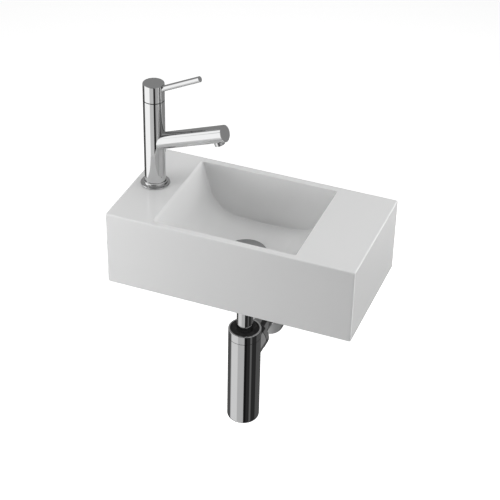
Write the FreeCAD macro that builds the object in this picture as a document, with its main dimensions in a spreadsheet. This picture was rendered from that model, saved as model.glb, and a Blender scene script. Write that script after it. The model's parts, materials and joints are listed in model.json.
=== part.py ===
"""Wall hung basin with a side tap, a click waste and a bottle trap.

Row frame, millimetres: X along the wall, +Y into the wall, +Z up. The origin lies on the
wall face, midway between the two hanger bolts that carry the basin.
"""
import FreeCAD, Part
import Sketcher
import math
import os
import re

from FreeCAD import Placement, Rotation, Vector

doc = FreeCAD.newDocument("wall_hung_basin")

# ---------------------------------------------------------------- driving dimensions
SIZES = {
    # basin block: its width is the two decks and the bowl, its depth the two rims and the bowl
    "deck_left": 74, "bowl_w": 231, "deck_right": 95,
    "front_rim": 11, "bowl_long": 189, "back_rim": 13,
    "basin_tall": 126, "deck_z": 48,       # deck_z: deck above the hanger bolts
    "side_wall": 10, "deck_thick": 12, "corner_r": 3, "edge_r": 2.2, "foot_edge_r": 2,
    # bowl: a trough along Y, its outline is a flattened U
    "bowl_deep": 92, "bowl_lean": 16, "bowl_side_r": 52, "bowl_floor_r": 480, "shell_thick": 10.5,
    "flare_r": 12, "flare_turn": 45,       # the side walls roll outwards just below the deck
    "bowl_corner_r": 2, "rim_r": 1.6,
    # waste seat in the bowl's floor
    "waste_aside": 1.7, "waste_y": -100, "waste_hole_gap": 2.1, "seat_gap": 2, "seat_deep": 2.5,
    "seat_wall": 13.5, "boss_wall": 6.5,
    # wall fixing
    "bolt_inset": 40, "bolt_r": 5, "bolt_step": 0.2, "bolt_gap": 0.1, "bolt_in_wall": 60,
    "bolt_tip": 9, "bolt_proud": 7, "sleeve_wall": 2.7, "sleeve_gap": 0.2, "sleeve_short": 1.5,
    "sleeve_flange_over": 6, "sleeve_flange": 2, "washer_wide": 5.4, "washer_thick": 2,
    "nut_wall": 3.4, "nut_thick": 8,
    # tap, measured from the deck
    "tap_inset": 33, "tap_y": -101, "tap_turn": 5,
    "column_tall": 148, "groove_tall": 1.5, "cap_tall": 27,
    "cap_edge_r": 0.8, "foot_wide": 6.55, "foot_rim": 2.6, "foot_tall": 7.5, "foot_seal": 1,
    "foot_gap": 0.1, "foot_lip": 0.9, "foot_step": 0.6, "foot_cove_r": 3.5, "foot_rim_r": 1.4,
    "spout_r": 13.3, "spout_rise": 74.2, "spout_slope": 21.5, "spout_reach": 131,
    "spout_end_wall": 4, "waterway_r": 7, "edge_break": 0.5,
    "aerator_back": 16, "aerator_r": 8, "aerator_proud": 4, "aerator_tall": 10,
    "aerator_wall": 1.3, "aerator_gap": 0.05, "aerator_seal_tall": 1.5,
    "insert_tall": 4, "insert_up": 1.2, "insert_step": 1, "insert_groove": 1,
    "lever_r": 4.6, "lever_up": 13, "lever_slope": 27, "lever_reach": 89.5,
    "lever_root_wall": 2.1, "lever_gap": 0.05,
    # quarter-turn headwork in the column
    "spindle_r": 3.9, "spindle_gap": 0.05, "spindle_foot_over": 2.1, "spindle_foot": 3,
    "spindle_clear": 2.5, "headwork_wall": 3, "headwork_gap": 0.1, "socket_wall": 5.15,
    "headwork_tall": 34, "disc_clear": 0.2, "disc_thick": 3.5, "disc_gap": 0.05,
    "disc_port_web": 1.2, "disc_port_edge": 1.1, "spindle_up": 12,
    "cap_wall": 3.15, "cap_hollow": 4, "cap_gap": 0.1,
    "glide_inset": 1.5, "glide_clear": 0.9, "glide_gap": 0.3,
    "screw_r": 2, "screw_gap": 0.1, "screw_inset": 1, "screw_up": 7.5,
    # tap tail under the deck: a shank that the nut runs on, then the hose's thinner end
    "tail_r": 10.45, "shank_more": 1.55, "shank_proud": 2, "tail_bore_r": 6.5, "tail_up": 14,
    "tail_gap": 0.1, "tail_long": 19, "tap_hole_gap": 5.5, "tail_ring_over": 3, "tail_seal": 3,
    "tail_washer": 2, "tail_nut_wall": 3.9, "tail_nut": 8,
    # waste, measured from the floor's lowest line
    "waste_r": 20.9, "waste_wall": 3.3, "waste_long": 62, "flange_wide": 10.6,
    "flange_thick": 1.5, "flange_seal": 0.8, "lower_seal": 5, "lower_seal_wide": 8.1,
    "waste_washer": 2, "waste_nut": 9, "waste_nut_wide": 6.6, "waste_gap": 0.1,
    "hub_r": 6, "hub_low": 38, "hub_tall": 6, "spoke_wide": 3.2, "spoke_in": 1,
    "cover_over": 0.8, "cover_thick": 2, "cover_crown": 0.7, "cover_lip": 0.9,
    "cover_edge_r": 0.6, "cover_boss_wall": 4, "cover_boss": 7,
    "cover_seal_in": 4.5, "cover_seal_wide": 5, "cover_seal_lift": 0.3,
    "cartridge_wall": 2.45, "cartridge_tall": 19, "plunger_r": 4, "plunger_gap": 0.05,
    "plunger_room": 1.5, "plunger_foot": 3,
    # trap, heights in the row frame
    "inlet_nut_wide": 3.6, "inlet_nut_tall": 24, "inlet_nut_lip": 3,
    "inlet_gasket": 2, "dip_r": 13.7, "dip_wall": 1, "dip_collar_in": 0.9,
    "dip_collar": 2, "dip_clear": 45, "dip_gap": 0.15,
    "trap_top": 194, "trap_low": 380, "trap_r": 27.2, "trap_wall": 2.2, "trap_round": 6,
    "trap_edge_r": 0.7, "top_nut_tall": 15, "top_nut_lip": 1.4, "top_nut_rim": 2.8,
    "top_seal": 6, "neck_in": 2.2, "neck_wall": 3,
    "trap_gap": 0.1, "cup_seal": 0.8, "cup_seal_inset": 0.9,
    "outlet_drop": 46, "branch_in": 0.5, "branch_proud": 6.8, "branch_step": 2,
    "spigot_wall": 5.9, "spigot_long": 9, "outlet_nut_side": 3.9, "outlet_nut_wall": 3,
    "nut_edge_r": 1.5, "outlet_seal": 1.5, "nut_line": 0.6,
    "outlet_r": 16, "outlet_wall": 1.2, "outlet_gap": 0.1, "outlet_in_wall": 45,
    "socket_deep": 8, "mark_wide": 0.8, "mark_deep": 0.3,
    "rosette_wide": 18, "rosette_tall": 8, "rosette_wall": 1.2, "rosette_round": 4,
    "rosette_gap": 0.3,
}

# sizes that follow others, so that what fits together still fits when one of them changes
TIED = {
    "basin_w": "deck_left + bowl_w + deck_right",
    "basin_d": "front_rim + bowl_long + back_rim",
    "bowl_x": "deck_left + bowl_w / 2 - basin_w / 2",
    "waste_x": "bowl_x - waste_aside",
    "waste_hole_r": "waste_r + waste_hole_gap",
    "flange_r": "waste_r + flange_wide",
    "seat_r": "flange_r + seat_gap",
    "boss_r": "seat_r + boss_wall",
    "waste_bore_r": "waste_r - waste_wall",
    "lower_seal_r": "waste_r + lower_seal_wide",
    "waste_nut_r": "waste_r + waste_nut_wide",
    "cover_r": "flange_r + cover_over",
    "cover_boss_r": "plunger_r + cover_boss_wall",
    "cover_seal_r": "flange_r - cover_seal_in",
    "cartridge_r": "plunger_r + plunger_gap + cartridge_wall",
    "bolt_pitch": "basin_w - 2 * bolt_inset",
    "bolt_wall_r": "bolt_r - bolt_step",
    "sleeve_r": "bolt_r + bolt_gap + sleeve_wall",
    "bolt_hole_r": "sleeve_r + sleeve_gap",
    "sleeve_flange_r": "bolt_hole_r + sleeve_flange_over",
    "washer_r": "bolt_r + bolt_gap + washer_wide",
    "nut_flats": "2 * (bolt_r + bolt_gap + nut_wall)",
    "bolt_end": "back_rim + sleeve_flange + washer_thick + nut_thick + bolt_proud",
    "tap_x": "tap_inset - basin_w / 2",
    "spindle_foot_r": "spindle_r + spindle_foot_over",
    "headwork_bore_r": "spindle_foot_r + spindle_clear",
    "headwork_r": "headwork_bore_r + headwork_wall",
    "column_r": "headwork_r + headwork_gap + socket_wall",
    "disc_r": "headwork_bore_r - disc_clear",
    "disc_port_r": "(disc_r - disc_port_web - disc_port_edge) / 2",
    "disc_port_out": "disc_port_web + disc_port_r",
    "foot_r": "column_r + foot_wide",
    "lever_rise": "column_tall + groove_tall + lever_up",
    "lever_root": "spindle_r + lever_root_wall",
    "cap_hollow_r": "column_r - cap_wall",
    "screw_rise": "column_tall + groove_tall + screw_up",
    "shank_r": "tail_r + shank_more",
    "tap_hole_r": "shank_r + tap_hole_gap",
    "tail_ring_r": "tap_hole_r + tail_ring_over",
    "tail_nut_flats": "2 * (shank_r + tail_gap + tail_nut_wall)",
    "inlet_nut_r": "waste_r + inlet_nut_wide",
    "dip_collar_r": "waste_r - dip_collar_in",
    "dip_low": "trap_low - dip_clear",
    "neck_r": "trap_r - neck_in",
    "top_nut_open_r": "trap_r - top_nut_rim",
    "outlet_z": "trap_top + outlet_drop",
    "spigot_r": "outlet_r + outlet_gap + spigot_wall",
    "outlet_nut_r": "spigot_r + trap_gap + outlet_nut_side",
    "branch_r": "outlet_nut_r - branch_in",
    "branch_long": "trap_r + branch_proud",
    "branch_bore_r": "outlet_r - branch_step",
    "rosette_r": "outlet_r + rosette_wide",
}

sheet = doc.addObject("Spreadsheet::Sheet", "Dims")
CELLS = {**SIZES, **{alias: f"={formula}" for alias, formula in TIED.items()}}
for row, alias in enumerate(CELLS, start=1):
    sheet.set(f"A{row}", alias)
    sheet.setAlias(f"B{row}", alias)
for row, value in enumerate(CELLS.values(), start=1):
    sheet.set(f"B{row}", str(value))
doc.recompute()

BELOW_DECK = "deck_z - bowl_deep"                     # row height of the bowl's lowest line
BASIN_FOOT = "deck_z - basin_tall"
SEAT = "deck_z - bowl_deep - seat_deep"               # top of the ledge under the waste flange
# the straight walls' lines, carried on up to the deck, are this far apart
WALL_LINES_APART = ("(bowl_w + 2 * flare_r * (sin(flare_turn) + cos(flare_turn) * tan(bowl_lean)"
                    " - 1 / cos(bowl_lean)))")
HEADWORK_LOW = "column_tall - headwork_tall"
SPINDLE_LOW = "column_tall - headwork_tall + 2 * disc_thick + disc_gap"
CAP_LOW = "column_tall + groove_tall"
AERATOR_TOP = "-spout_r - aerator_proud + aerator_tall + aerator_seal_tall"
SHANK_LOW = "-deck_thick - tail_seal - tail_washer - tail_nut - shank_proud"
INSERT_RINGS = 3                       # ring grooves in the aerator's face
PARTS = []


def size(alias):
    """The value of one cell of the sheet."""
    return float(sheet.get(alias))


def bound(expression):
    """Turn 'wall + gap' into an expression that reads the sheet's cells."""
    return re.sub(r"[a-z][a-z_0-9]*[a-z0-9]", lambda word: cell_or_word(word.group(0)), expression)


def cell_or_word(word):
    return "Dims." + word if word in CELLS else word


# ---------------------------------------------------------------- modelling helpers
def new_body(label, at=("0", "0", "0"), turn="0"):
    """A body with its own label, placed in the row frame and turned about Z."""
    body = doc.addObject("PartDesign::Body", label)
    body.Label = label
    body.AllowCompound = True
    body.Placement = Placement(Vector(), Rotation(Vector(0, 0, 1), 1))
    body.setExpression("Placement.Rotation.Angle", bound(turn))
    for letter, place in zip("xyz", at):
        body.setExpression(f"Placement.Base.{letter}", bound(place))
    PARTS.append(body)
    return body


def new_sketch(body, name, plane="XY_Plane", at=("0", "0", "0"), turn="0"):
    """A sketch on one of the body's origin planes, shifted and turned within that plane."""
    sketch = body.newObject("Sketcher::SketchObject", f"{body.Name}_{name}")
    plane_object = next(item for item in body.Origin.OriginFeatures if item.Role == plane)
    sketch.AttachmentSupport = [(plane_object, "")]
    sketch.MapMode = "FlatFace"
    sketch.AttachmentOffset = Placement(Vector(), Rotation(Vector(0, 0, 1), 1))
    sketch.setExpression("AttachmentOffset.Rotation.Angle", bound(turn))
    for letter, place in zip("xyz", at):
        sketch.setExpression(f"AttachmentOffset.Base.{letter}", bound(place))
    return sketch


def limit(sketch, kind, *items):
    """Add a constraint whose last item is the expression that drives it."""
    number = sketch.addConstraint(Sketcher.Constraint(kind, *items[:-1], START_VALUE))
    sketch.setExpression(f"Constraints[{number}]", bound(items[-1]))


def fix_point(sketch, line, end, across, up):
    """Hold one end of a line, or a circle's centre, at two driven distances from the origin."""
    for kind, place, axis in (("DistanceX", across, V_AXIS), ("DistanceY", up, H_AXIS)):
        if place == "0":
            sketch.addConstraint(Sketcher.Constraint("PointOnObject", line, end, axis))
        else:
            limit(sketch, kind, ORIGIN, START, line, end, place)


def outline(sketch, corners):
    """A closed outline of straight lines through driven corners."""
    first = sketch.GeometryCount
    count = len(corners)
    rough = [Vector(START_VALUE * math.cos(2 * math.pi * i / count),
                    START_VALUE * math.sin(2 * math.pi * i / count), 0) for i in range(count)]
    sides = [Part.LineSegment(rough[i], rough[(i + 1) % count]) for i in range(count)]
    sketch.addGeometry(sides, False)
    for i in range(count):
        following = first + (i + 1) % count
        sketch.addConstraint(Sketcher.Constraint("Coincident", first + i, END, following, START))
    for i, (across, up) in enumerate(corners):
        fix_point(sketch, first + i, START, across, up)


def box_outline(sketch, left, low, right, high):
    outline(sketch, [(left, low), (right, low), (right, high), (left, high)])


def ring_outline(sketch, radius, centre=("0", "0")):
    """One circle with a driven radius and centre."""
    number = sketch.GeometryCount
    sketch.addGeometry(Part.Circle(Vector(1 + number, 2 + number, 0), Vector(0, 0, 1), START_VALUE), False)
    limit(sketch, "Radius", number, radius)
    fix_point(sketch, number, MIDDLE, *centre)


def hexagon(sketch, flats):
    """A hexagon with two flats square to the sketch's X, by its width across flats."""
    side = f"({flats}) / sqrt(12)"
    peak = f"({flats}) / sqrt(3)"
    half = f"({flats}) / 2"
    outline(sketch, [(half, f"-{side}"), (half, side), ("0", peak),
                     (f"-{half}", side), (f"-{half}", f"-{side}"), ("0", f"-{peak}")])


def feature(body, kind, name, sketch):
    made = body.newObject(f"PartDesign::{kind}", f"{body.Name}_{name}")
    made.Profile = sketch
    return made


def pad(body, name, sketch, length, backwards=False):
    made = feature(body, "Pad", name, sketch)
    made.Reversed = backwards
    made.setExpression("Length", bound(length))
    return made


def pocket(body, name, sketch, length, backwards=False):
    """Cut a sketch along its plane's normal, or against it, and make sure that it cut."""
    doc.recompute()
    before = body.Tip.Shape.Volume
    made = feature(body, "Pocket", name, sketch)
    made.Reversed = backwards
    made.setExpression("Length", bound(length))
    must_cut(body, made, before)
    return made


def turned(body, name, corners, plane="XZ_Plane", about="V_Axis", at=("0", "0", "0"), turn="0"):
    """Turn an outline about a sketch axis, as on a lathe."""
    sketch = new_sketch(body, f"{name}_outline", plane, at, turn)
    outline(sketch, corners)
    made = feature(body, "Revolution", name, sketch)
    made.ReferenceAxis = (sketch, [about])
    made.Angle = 360
    return made


def bored(body, name, corners, plane="XZ_Plane", about="V_Axis", at=("0", "0", "0"), turn="0"):
    """Cut a turned outline out of the body, and make sure that it cut."""
    doc.recompute()
    before = body.Tip.Shape.Volume
    sketch = new_sketch(body, f"{name}_outline", plane, at, turn)
    outline(sketch, corners)
    made = feature(body, "Groove", name, sketch)
    made.ReferenceAxis = (sketch, [about])
    made.Angle = 360
    must_cut(body, made, before)
    return made


def must_cut(body, made, before):
    doc.recompute()
    if not made.Shape.Volume < before - TINY:
        raise RuntimeError(f"{made.Name} cut nothing")


def tube_outline(inner, outer, low, high):
    return [(inner, low), (outer, low), (outer, high), (inner, high)]


def dress(body, kind, name, amount, wanted):
    """Round or chamfer the edges of the body's last feature that a test picks."""
    doc.recompute()
    base = body.Tip
    edges = [f"Edge{i}" for i, edge in enumerate(base.Shape.Edges, start=1) if wanted(edge)]
    if not edges:
        raise RuntimeError(f"{body.Name} {name}: no edge found")
    made = body.newObject(f"PartDesign::{kind}", f"{body.Name}_{name}")
    made.Base = (base, edges)
    made.setExpression("Radius" if kind == "Fillet" else "Size", bound(amount))
    return made


def near(value, target):
    return abs(value - target) < NEAR


def is_circle(edge, radius, height=None, axis="z"):
    """True for a full or part circle of this radius, at this height along the axis."""
    curve = edge.Curve
    if not isinstance(curve, Part.Circle) or not near(curve.Radius, radius):
        return False
    return height is None or near(getattr(curve.Center, axis), height)


def lies_flat(edge, height):
    box = edge.BoundBox
    return near(box.ZMin, height) and near(box.ZMax, height)


def pair_along_x(body, feature_to_repeat, pitch):
    """Repeat the body's first feature once, a pitch further along X."""
    pattern = body.newObject("PartDesign::LinearPattern", f"{body.Name}_pair")
    pattern.Originals = [feature_to_repeat]
    pattern.Direction = (feature_to_repeat.Profile[0], ["H_Axis"])
    pattern.setExpression("Length", bound(pitch))
    pattern.Occurrences = 2
    body.Tip = pattern
    return pattern


START, END, MIDDLE = 1, 2, 3           # the ends and the centre of a sketch's line or arc
ORIGIN, H_AXIS, V_AXIS = -1, -1, -2    # a sketch's origin and axes
START_VALUE = 10.0                     # any size, until an expression drives it
TINY = 0.01
NEAR = 0.01

# ---------------------------------------------------------------- basin
def bowl_outline(sketch):
    """The bowl's flattened U: leaning walls that roll out at the deck, side arcs, one floor arc."""
    u = bowl_shape(0)
    turn = math.radians(size("flare_turn"))
    flare_r = size("flare_r")
    rim = Vector(-size("bowl_w") / 2, 0, 0)
    flare_centre = rim - Vector(math.sin(turn), math.cos(turn), 0) * flare_r
    wall_top = flare_centre + u["inward"] * flare_r
    sketch.addGeometry(u_geometry(u, wall_top) + [
        arc(flare_centre, flare_r, wall_top, rim),
        arc(flip(flare_centre), flare_r, flip(rim), flip(wall_top)),
        Part.LineSegment(flip(rim), rim)], False)
    wall_l, floor, wall_rt, flare_l, flare_rt, deck = 0, 2, 4, 5, 6, 7
    join_u(sketch, "")
    sketch.addConstraint(Sketcher.Constraint("Tangent", wall_l, END, flare_l, START))
    sketch.addConstraint(Sketcher.Constraint("Tangent", wall_rt, END, flare_rt, END))
    sketch.addConstraint(Sketcher.Constraint("Coincident", flare_rt, START, deck, START))
    sketch.addConstraint(Sketcher.Constraint("Coincident", deck, END, flare_l, END))
    sketch.addConstraint(Sketcher.Constraint("Symmetric", flare_l, END, flare_rt, START, V_AXIS))
    sketch.addConstraint(Sketcher.Constraint("PointOnObject", flare_l, END, H_AXIS))
    sketch.addConstraint(Sketcher.Constraint("Equal", flare_l, flare_rt))
    drive(sketch, "Radius", (flare_l,), flare_r, "flare_r")
    drive(sketch, "DistanceX", (flare_l, END, flare_rt, START), -2 * rim.x, "bowl_w")
    for side in (flare_l, flare_rt):
        drive(sketch, "DistanceY", (ORIGIN, START, side, MIDDLE), flare_centre.y,
              "-flare_r * cos(flare_turn)")


def shell_outline(sketch):
    """The shell's outer U: the bowl's walls and floor, moved outwards by the shell's thickness."""
    u = bowl_shape(size("shell_thick"))
    top = u["top"]
    sketch.addGeometry(u_geometry(u, top) + [Part.LineSegment(flip(top), top)], False)
    wall_l, wall_rt, deck = 0, 4, 5
    join_u(sketch, " + shell_thick")
    sketch.addConstraint(Sketcher.Constraint("Coincident", wall_rt, END, deck, START))
    sketch.addConstraint(Sketcher.Constraint("Coincident", deck, END, wall_l, END))
    sketch.addConstraint(Sketcher.Constraint("Symmetric", wall_l, END, wall_rt, END, V_AXIS))
    sketch.addConstraint(Sketcher.Constraint("PointOnObject", wall_l, END, H_AXIS))
    drive(sketch, "DistanceX", (wall_l, END, wall_rt, END), -2 * top.x,
          f"{WALL_LINES_APART} + 2 * shell_thick / cos(bowl_lean)")


def bowl_shape(grow):
    """Where the U's straight walls, side arcs and floor arc meet, for the U grown outwards."""
    lean = math.radians(size("bowl_lean"))
    turn = math.radians(size("flare_turn"))
    side_r = size("bowl_side_r") + grow
    floor_r = size("bowl_floor_r") + grow
    floor_centre = Vector(0, size("bowl_floor_r") - size("bowl_deep"), 0)
    rolled = math.sin(turn) + math.cos(turn) * math.tan(lean) - 1 / math.cos(lean)
    top = Vector(-size("bowl_w") / 2 - size("flare_r") * rolled - grow / math.cos(lean), 0, 0)
    down = Vector(math.sin(lean), -math.cos(lean), 0)
    inward = Vector(math.cos(lean), math.sin(lean), 0)
    # distance down the wall at which an arc of side_r also touches the floor arc
    offset = top + inward * side_r - floor_centre
    half_b = offset.dot(down)
    root = math.sqrt(half_b ** 2 - offset.dot(offset) + (floor_r - side_r) ** 2)
    run = -half_b - root if -half_b - root > 0 else -half_b + root
    side_centre = top + down * run + inward * side_r
    return {"top": top, "inward": inward, "side_r": side_r, "floor_r": floor_r,
            "side_centre": side_centre, "floor_centre": floor_centre,
            "meets_wall": top + down * run,
            "meets_floor": floor_centre + (side_centre - floor_centre).normalize() * floor_r}


def u_geometry(u, wall_top):
    """Left wall, left side arc, floor arc, right side arc and right wall, as five pieces."""
    return [
        Part.LineSegment(u["meets_wall"], wall_top),
        arc(u["side_centre"], u["side_r"], u["meets_wall"], u["meets_floor"]),
        arc(u["floor_centre"], u["floor_r"], u["meets_floor"], flip(u["meets_floor"])),
        arc(flip(u["side_centre"]), u["side_r"], flip(u["meets_floor"]), flip(u["meets_wall"])),
        Part.LineSegment(flip(u["meets_wall"]), flip(wall_top))]


def join_u(sketch, more):
    """Join the U's five pieces so that each runs smoothly into the next, and drive their sizes."""
    wall_l, side_l, floor, side_rt, wall_rt = range(5)
    for one, one_end, two, two_end in (
            (wall_l, START, side_l, START), (side_l, END, floor, START),
            (floor, END, side_rt, START), (side_rt, END, wall_rt, START)):
        sketch.addConstraint(Sketcher.Constraint("Tangent", one, one_end, two, two_end))
    sketch.addConstraint(Sketcher.Constraint("PointOnObject", floor, MIDDLE, V_AXIS))
    sketch.addConstraint(Sketcher.Constraint("Equal", side_l, side_rt))
    lean = math.radians(size("bowl_lean"))
    grow = size("shell_thick") if more else 0
    drive(sketch, "Radius", (side_l,), size("bowl_side_r") + grow, f"bowl_side_r{more}")
    drive(sketch, "Radius", (floor,), size("bowl_floor_r") + grow, f"bowl_floor_r{more}")
    drive(sketch, "DistanceY", (ORIGIN, START, floor, MIDDLE),
          size("bowl_floor_r") - size("bowl_deep"), "bowl_floor_r - bowl_deep")
    drive(sketch, "Angle", (wall_l,), math.pi / 2 + lean, "90 + bowl_lean")
    drive(sketch, "Angle", (wall_rt,), math.pi / 2 - lean, "90 - bowl_lean")


def drive(sketch, kind, items, value, expression):
    """Add a constraint that starts at its true value, so that the sketch solves the right way."""
    number = sketch.addConstraint(Sketcher.Constraint(kind, *items, value))
    sketch.setExpression(f"Constraints[{number}]", bound(expression))


def flip(point):
    return Vector(-point.x, point.y, 0)


def arc(centre, radius, first, last):
    """An arc that runs counterclockwise from one point to another."""
    angles = [math.atan2(end.y - centre.y, end.x - centre.x) for end in (first, last)]
    return Part.ArcOfCircle(Part.Circle(centre, Vector(0, 0, 1), radius), *angles)


def make_basin():
    """Glazed block, open below, with the bowl's shell hanging between its front and back walls."""
    body = new_body("basin_ceramic")
    block = new_sketch(body, "block", at=("0", "0", BASIN_FOOT))
    box_outline(block, "-basin_w / 2", "-basin_d", "basin_w / 2", "0")
    pad(body, "block_pad", block, "basin_tall")
    dress(body, "Fillet", "corners", "corner_r",
          lambda edge: near(edge.BoundBox.ZLength, size("basin_tall")))

    under = new_sketch(body, "under", at=("0", "0", BASIN_FOOT))
    box_outline(under, "-basin_w / 2 + side_wall", "-basin_d + front_rim",
                "basin_w / 2 - side_wall", "-back_rim")
    pocket(body, "under_pocket", under, "basin_tall - deck_thick", backwards=True)

    bowl_at = ("bowl_x", "deck_z", "back_rim")
    shell = new_sketch(body, "shell", "XZ_Plane", bowl_at)
    shell_outline(shell)
    pad(body, "shell_pad", shell, "bowl_long")

    boss = new_sketch(body, "boss", at=("0", "0", f"{SEAT} - seat_wall"))
    ring_outline(boss, "boss_r", ("waste_x", "waste_y"))
    pad(body, "boss_pad", boss, "seat_wall")

    bowl = new_sketch(body, "bowl", "XZ_Plane", bowl_at)
    bowl_outline(bowl)
    pocket(body, "bowl_pocket", bowl, "bowl_long", backwards=True)
    bowl_ends = (-size("back_rim"), size("front_rim") - size("basin_d"))
    wall_top = size("deck_z")
    bowl_low = wall_top - size("bowl_deep")
    bowl_left = size("bowl_x") - size("bowl_w") / 2
    bowl_right = size("bowl_x") + size("bowl_w") / 2

    def on_bowl_end(edge):
        box = edge.BoundBox
        inside = bowl_left - NEAR < box.XMin and box.XMax < bowl_right + NEAR
        return (inside and box.YLength < NEAR and any(near(box.YMin, y) for y in bowl_ends)
                and box.ZMin > bowl_low - NEAR and not lies_flat(edge, wall_top))

    dress(body, "Fillet", "bowl_corners", "bowl_corner_r", on_bowl_end)

    seat = new_sketch(body, "seat", at=("0", "0", SEAT))
    ring_outline(seat, "seat_r", ("waste_x", "waste_y"))
    pocket(body, "seat_pocket", seat, "seat_deep + shell_thick", backwards=True)
    waste_hole = new_sketch(body, "waste_hole", at=("0", "0", f"{SEAT} - seat_wall"))
    ring_outline(waste_hole, "waste_hole_r", ("waste_x", "waste_y"))
    pocket(body, "waste_hole_cut", waste_hole, "seat_wall", backwards=True)

    tap_hole = new_sketch(body, "tap_hole", at=("0", "0", "deck_z"))
    ring_outline(tap_hole, "tap_hole_r", ("tap_x", "tap_y"))
    pocket(body, "tap_hole_cut", tap_hole, "deck_thick")

    bolt_holes = new_sketch(body, "bolt_holes", "XZ_Plane")
    for side in ("", "-"):
        ring_outline(bolt_holes, "bolt_hole_r", (f"{side}bolt_pitch / 2", "0"))
    pocket(body, "bolt_holes_cut", bolt_holes, "back_rim", backwards=True)

    def on_rim(edge):
        box = edge.BoundBox
        return (lies_flat(edge, wall_top) and bowl_left - NEAR < box.XMin
                and box.XMax < bowl_right + NEAR and not is_circle(edge, size("tap_hole_r")))

    def on_outer_top(edge):
        box = edge.BoundBox
        reach = max(abs(box.XMin), abs(box.XMax))
        at_side = near(reach, size("basin_w") / 2)
        at_end = any(near(y, end) for y in (box.YMin, box.YMax) for end in (0, -size("basin_d")))
        return lies_flat(edge, wall_top) and (at_side or at_end)

    def on_outer_foot(edge):
        box = edge.BoundBox
        reach = max(abs(box.XMin), abs(box.XMax))
        at_side = near(reach, size("basin_w") / 2)
        at_end = any(near(y, end) for y in (box.YMin, box.YMax) for end in (0, -size("basin_d")))
        return lies_flat(edge, wall_top - size("basin_tall")) and (at_side or at_end)

    dress(body, "Fillet", "rim", "rim_r", on_rim)
    dress(body, "Fillet", "outer_top", "edge_r", on_outer_top)
    dress(body, "Fillet", "outer_foot", "foot_edge_r", on_outer_foot)


# ---------------------------------------------------------------- wall fixing
def fixing_body(label):
    return new_body(label, at=("-bolt_pitch / 2", "0", "0"))


def make_wall_fixing():
    """Two hanger bolts with sleeves, washers and nuts, behind the back wall's holes."""
    bolts = fixing_body("hanger_bolts")
    bolt = turned(bolts, "bolt", [
        ("0", "-bolt_end"), ("bolt_r", "-bolt_end"), ("bolt_r", "-sleeve_short"),
        ("bolt_wall_r", "-sleeve_short"), ("bolt_wall_r", "bolt_in_wall - bolt_tip"),
        ("0", "bolt_in_wall")], plane="XY_Plane")
    pair_along_x(bolts, bolt, "bolt_pitch")

    sleeves = fixing_body("fixing_sleeves")
    sleeve = turned(sleeves, "sleeve", [
        ("bolt_r + bolt_gap", "-back_rim - sleeve_flange"),
        ("sleeve_flange_r", "-back_rim - sleeve_flange"), ("sleeve_flange_r", "-back_rim"),
        ("sleeve_r", "-back_rim"), ("sleeve_r", "-sleeve_short"),
        ("bolt_r + bolt_gap", "-sleeve_short")], plane="XY_Plane")
    pair_along_x(sleeves, sleeve, "bolt_pitch")

    washers = fixing_body("fixing_washers")
    washer = turned(washers, "washer", tube_outline(
        "bolt_r + bolt_gap", "washer_r", "-back_rim - sleeve_flange - washer_thick",
        "-back_rim - sleeve_flange"), plane="XY_Plane")
    pair_along_x(washers, washer, "bolt_pitch")

    nuts = fixing_body("fixing_nuts")
    face = new_sketch(nuts, "face", "XZ_Plane", ("0", "0", "back_rim + sleeve_flange + washer_thick"))
    hexagon(face, "nut_flats")
    ring_outline(face, "bolt_r + bolt_gap")
    nut = pad(nuts, "nut", face, "nut_thick")
    pair_along_x(nuts, nut, "bolt_pitch")


# ---------------------------------------------------------------- tap
def tap_body_at(label):
    """A body in the tap's own frame: its origin on the deck, X along the spout."""
    return new_body(label, at=("tap_x", "tap_y", "deck_z"), turn="-tap_turn")


AERATOR_AT = ("cos(spout_slope) * (spout_reach - aerator_back)",
              "spout_rise + sin(spout_slope) * (spout_reach - aerator_back)", "0")


def make_tap_column():
    """Column with the inclined spout growing out of it, bored for water and headwork."""
    body = tap_body_at("tap_body")
    turned(body, "column", [("0", "foot_seal"), ("column_r", "foot_seal"),
                            ("column_r", "column_tall"), ("0", "column_tall")])
    turned(body, "spout", [("0", "0"), ("spout_reach", "0"), ("spout_reach", "spout_r"),
                           ("0", "spout_r")], about="H_Axis", at=("0", "spout_rise", "0"),
           turn="spout_slope")
    dress(body, "Chamfer", "spout_end", "edge_break",
          lambda edge: is_circle(edge, size("spout_r")) and edge.BoundBox.XMax > size("spout_reach") / 2)
    bored(body, "tail_socket", [
        ("0", "foot_seal"), ("shank_r + tail_gap", "foot_seal"),
        ("shank_r + tail_gap", "foot_seal + tail_up"), ("0", "foot_seal + tail_up")])
    bored(body, "waterway", [("0", "foot_seal + tail_up"), ("waterway_r", "foot_seal + tail_up"),
                             ("waterway_r", HEADWORK_LOW), ("0", HEADWORK_LOW)])
    bored(body, "headwork_socket", [
        ("0", HEADWORK_LOW), ("headwork_r + headwork_gap", HEADWORK_LOW),
        ("headwork_r + headwork_gap", "column_tall"), ("0", "column_tall")])
    bored(body, "spout_bore", [
        ("0", "0"), ("spout_reach - spout_end_wall", "0"),
        ("spout_reach - spout_end_wall", "waterway_r"), ("0", "waterway_r")],
        about="H_Axis", at=("0", "spout_rise", "0"), turn="spout_slope")
    bored(body, "aerator_socket", [
        ("0", "-spout_r - 1"), ("aerator_r + aerator_gap", "-spout_r - 1"),
        ("aerator_r + aerator_gap", AERATOR_TOP), ("0", AERATOR_TOP)],
        at=AERATOR_AT, turn="spout_slope")


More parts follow.
